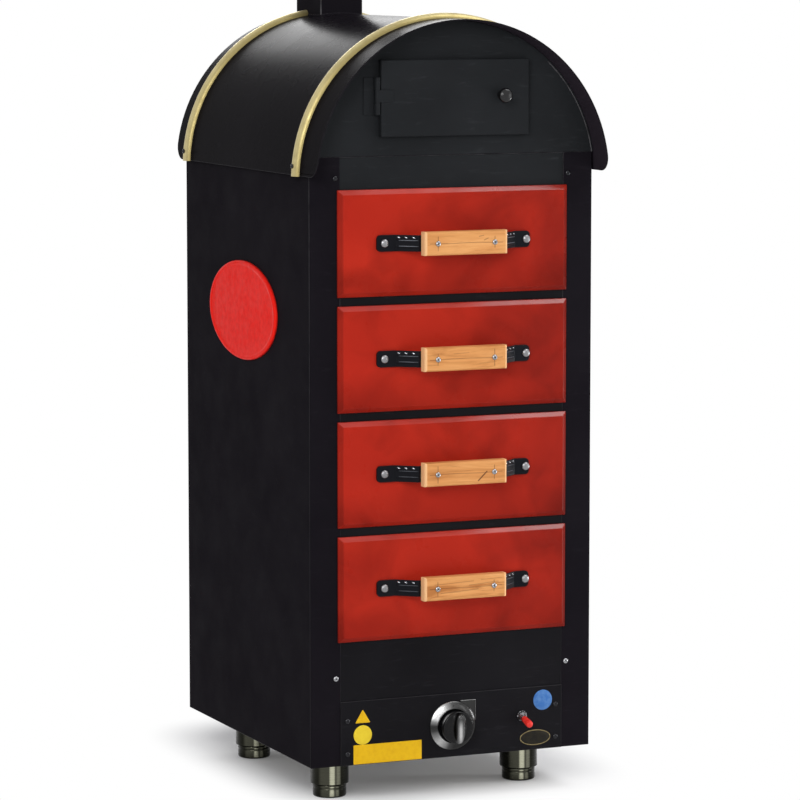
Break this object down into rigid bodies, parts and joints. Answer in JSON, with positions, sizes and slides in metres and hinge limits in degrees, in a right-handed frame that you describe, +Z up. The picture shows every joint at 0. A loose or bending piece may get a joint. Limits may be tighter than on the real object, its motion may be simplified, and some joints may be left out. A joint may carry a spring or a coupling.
{
  "type": "baked potato oven",
  "caption": "Gas-fired baked potato oven: black cabinet with red enamel drawers and wooden grips, barrel-shaped hood with hatch, flue, control panel and adjustable feet.",
  "frame": {"origin": "on the floor under the middle of the outer box", "axes": "+Z up, front towards -Y, +X to the right of someone facing the drawers"},
  "size_m": [0.4832, 0.586, 1.3023],
  "materials": {
    "case": "satin",
    "hood": "gloss",
    "drawer_enamel": "gloss",
    "sheet_steel": "satin",
    "stainless": "polished",
    "screw": "polished",
    "gold_trim": "satin",
    "badge": "gloss",
    "grip_wood": "satin",
    "handle_black": "satin",
    "knob_black": "gloss",
    "lever_red": "gloss",
    "wool": "matte",
    "gas_fitting": "satin",
    "spark_white": "matte",
    "burner_iron": "matte"
  },
  "bodies": {
    "cabinet": {"left_side_panel": "case", "right_side_panel": "case", "front_stiles": "case", "base_pan": "sheet_steel", "back_panel": "case", "header_panel": "case", "drawer_rails": "case", "lower_fascia": "case", "control_panel": "case", "arch_front": "hood", "arch_back": "hood", "roof_shell": "hood", "roof_bands": "gold_trim", "flue_pipe": "hood", "flue_collar": "sheet_steel", "side_badge": "badge", "case_screws": "screw", "leg_tubes": "stainless", "chamber_liner": "sheet_steel", "chamber_ceiling": "sheet_steel", "insulation": "wool", "drawer_runners": "sheet_steel", "baffle_plate": "sheet_steel", "burner": "burner_iron", "gas_line": "gas_fitting", "spark_igniter": "spark_white", "gas_tap": "gas_fitting", "knob_bezel": "stainless", "switch_body": "screw", "hatch_hinge": "screw"},
    "drawer_1": {"drawer_1_front": "drawer_enamel", "drawer_1_tray": "sheet_steel", "drawer_1_bracket": "handle_black", "drawer_1_grip": "grip_wood", "drawer_1_screws": "screw"},
    "drawer_2": {"drawer_2_front": "drawer_enamel", "drawer_2_tray": "sheet_steel", "drawer_2_bracket": "handle_black", "drawer_2_grip": "grip_wood", "drawer_2_screws": "screw"},
    "drawer_3": {"drawer_3_front": "drawer_enamel", "drawer_3_tray": "sheet_steel", "drawer_3_bracket": "handle_black", "drawer_3_grip": "grip_wood", "drawer_3_screws": "screw"},
    "drawer_4": {"drawer_4_front": "drawer_enamel", "drawer_4_tray": "sheet_steel", "drawer_4_bracket": "handle_black", "drawer_4_grip": "grip_wood", "drawer_4_screws": "screw"},
    "hatch": {"hatch_panel": "hood", "hatch_leaf": "screw", "hatch_knob": "knob_black"},
    "gas_spindle": {"tap_spindle": "gas_fitting"},
    "gas_knob": {"gas_knob": "knob_black"},
    "switch_lever": {"switch_lever": "lever_red"},
    "foot_1": {"foot_1": "stainless"},
    "foot_2": {"foot_2": "stainless"},
    "foot_3": {"foot_3": "stainless"},
    "foot_4": {"foot_4": "stainless"}
  },
  "joints": [
    {"name": "drawer_1_slide", "type": "slide", "parent": "cabinet", "child": "drawer_1", "axis": [0, -1, 0], "range_m": [0, 0.32]},
    {"name": "drawer_2_slide", "type": "slide", "parent": "cabinet", "child": "drawer_2", "axis": [0, -1, 0], "range_m": [0, 0.32]},
    {"name": "drawer_3_slide", "type": "slide", "parent": "cabinet", "child": "drawer_3", "axis": [0, -1, 0], "range_m": [0, 0.32]},
    {"name": "drawer_4_slide", "type": "slide", "parent": "cabinet", "child": "drawer_4", "axis": [0, -1, 0], "range_m": [0, 0.32]},
    {"name": "hatch_hinge", "type": "hinge", "parent": "cabinet", "child": "hatch", "pos_m": [-0.1225, -0.2488, 1.04183], "axis": [0, 0, -1], "range_deg": [0, 105]},
    {"name": "gas_tap_turn", "type": "hinge", "parent": "cabinet", "child": "gas_spindle", "pos_m": [0, -0.241, 0.112], "axis": [0, -1, 0], "range_deg": [0, 180]},
    {"name": "gas_knob_push", "type": "slide", "parent": "gas_spindle", "child": "gas_knob", "axis": [0, 1, 0], "range_m": [0, 0.0035], "stiffness_N_per_m": 1500, "springref_m": -0.004},
    {"name": "switch_toggle", "type": "hinge", "parent": "cabinet", "child": "switch_lever", "pos_m": [0.1125, -0.2405, 0.118], "axis": [-1, 0, 0], "range_deg": [0, 30]},
    {"name": "foot_1_level", "type": "slide", "parent": "cabinet", "child": "foot_1", "axis": [0, 0, -1], "range_m": [0, 0.025]},
    {"name": "foot_2_level", "type": "slide", "parent": "cabinet", "child": "foot_2", "axis": [0, 0, -1], "range_m": [0, 0.025]},
    {"name": "foot_3_level", "type": "slide", "parent": "cabinet", "child": "foot_3", "axis": [0, 0, -1], "range_m": [0, 0.025]},
    {"name": "foot_4_level", "type": "slide", "parent": "cabinet", "child": "foot_4", "axis": [0, 0, -1], "range_m": [0, 0.025]}
  ]
}
